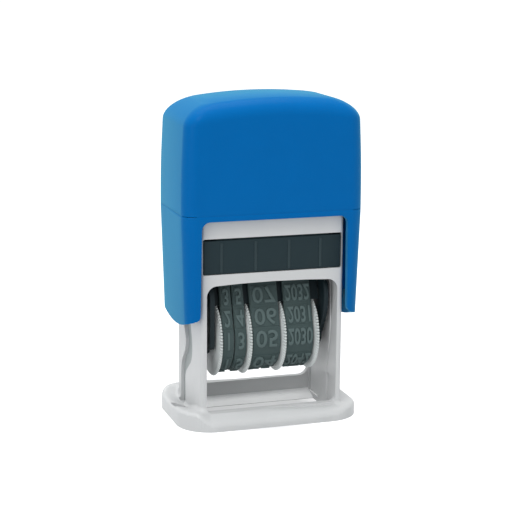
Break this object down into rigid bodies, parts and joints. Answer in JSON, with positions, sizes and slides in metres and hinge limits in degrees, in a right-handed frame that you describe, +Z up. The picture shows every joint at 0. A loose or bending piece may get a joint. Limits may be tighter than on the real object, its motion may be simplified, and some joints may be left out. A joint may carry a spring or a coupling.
{
  "type": "date stamp",
  "caption": "Small self-inking date stamp: a press cap turns a date unit with wheel-set rubber bands from the ink pad down through the base.",
  "frame": {"origin": "middle of the base's underside, on the table", "axes": "+Z up along the press direction, -Y out of the front window with the setting wheels, +X to the right seen from the front"},
  "size_m": [0.0436, 0.0272, 0.0759],
  "materials": {
    "stand": "pale grey moulded plastic with a fine satin skin",
    "cap": "blue moulded plastic, softly glossy",
    "cartridge": "dark slate moulded plastic, satin",
    "pad": "felt soaked with dark blue ink",
    "unit": "near-black moulded plastic",
    "wheel": "light grey moulded plastic",
    "band": "grey-green moulded rubber with raised type",
    "steel": "bright drawn steel"
  },
  "bodies": {
    "stand": {"stand_frame": "stand", "return_spring": "steel"},
    "cap": {"press_cap": "cap", "yoke": "unit", "pivot_pin_left": "steel", "pivot_pin_right": "steel"},
    "cartridge": {"ink_cartridge": "cartridge", "ink_pad": "pad"},
    "date_unit": {"cheek_left": "unit", "cheek_right": "unit", "wheel_axle": "steel", "unit_tie": "unit", "type_bar": "unit", "day_tens_band": "band", "day_units_band": "band", "month_band": "band", "year_band": "band"},
    "tens_wheel": {"day_tens_wheel": "wheel"},
    "units_wheel": {"day_units_wheel": "wheel"},
    "months_wheel": {"month_wheel": "wheel"},
    "years_wheel": {"year_wheel": "wheel"}
  },
  "joints": [
    {"name": "cap_press", "type": "slide", "parent": "stand", "child": "cap", "axis": [0, 0, -1], "range_m": [0, 0.0189], "stiffness_N_per_m": 400, "springref_m": -0.006, "deforming": ["return_spring"]},
    {"name": "unit_flip", "type": "hinge", "parent": "cap", "child": "date_unit", "pos_m": [0, 0, 0.0282], "axis": [-1, 0, 0], "range_deg": [0, 180]},
    {"name": "cartridge_slide", "type": "slide", "parent": "stand", "child": "cartridge", "axis": [0, -1, 0], "range_m": [0, 0.0206]},
    {"name": "day_tens_turn", "type": "hinge", "parent": "date_unit", "child": "tens_wheel", "pos_m": [0, 0, 0.0193], "axis": [1, 0, 0], "continuous": true},
    {"name": "day_units_turn", "type": "hinge", "parent": "date_unit", "child": "units_wheel", "pos_m": [0, 0, 0.0193], "axis": [1, 0, 0], "continuous": true},
    {"name": "month_turn", "type": "hinge", "parent": "date_unit", "child": "months_wheel", "pos_m": [0, 0, 0.0193], "axis": [1, 0, 0], "continuous": true},
    {"name": "year_turn", "type": "hinge", "parent": "date_unit", "child": "years_wheel", "pos_m": [0, 0, 0.0193], "axis": [1, 0, 0], "continuous": true}
  ],
  "couplings": [
    {"joint": "unit_flip", "follows": "cap_press", "rad_per_m": 166.2}
  ]
}
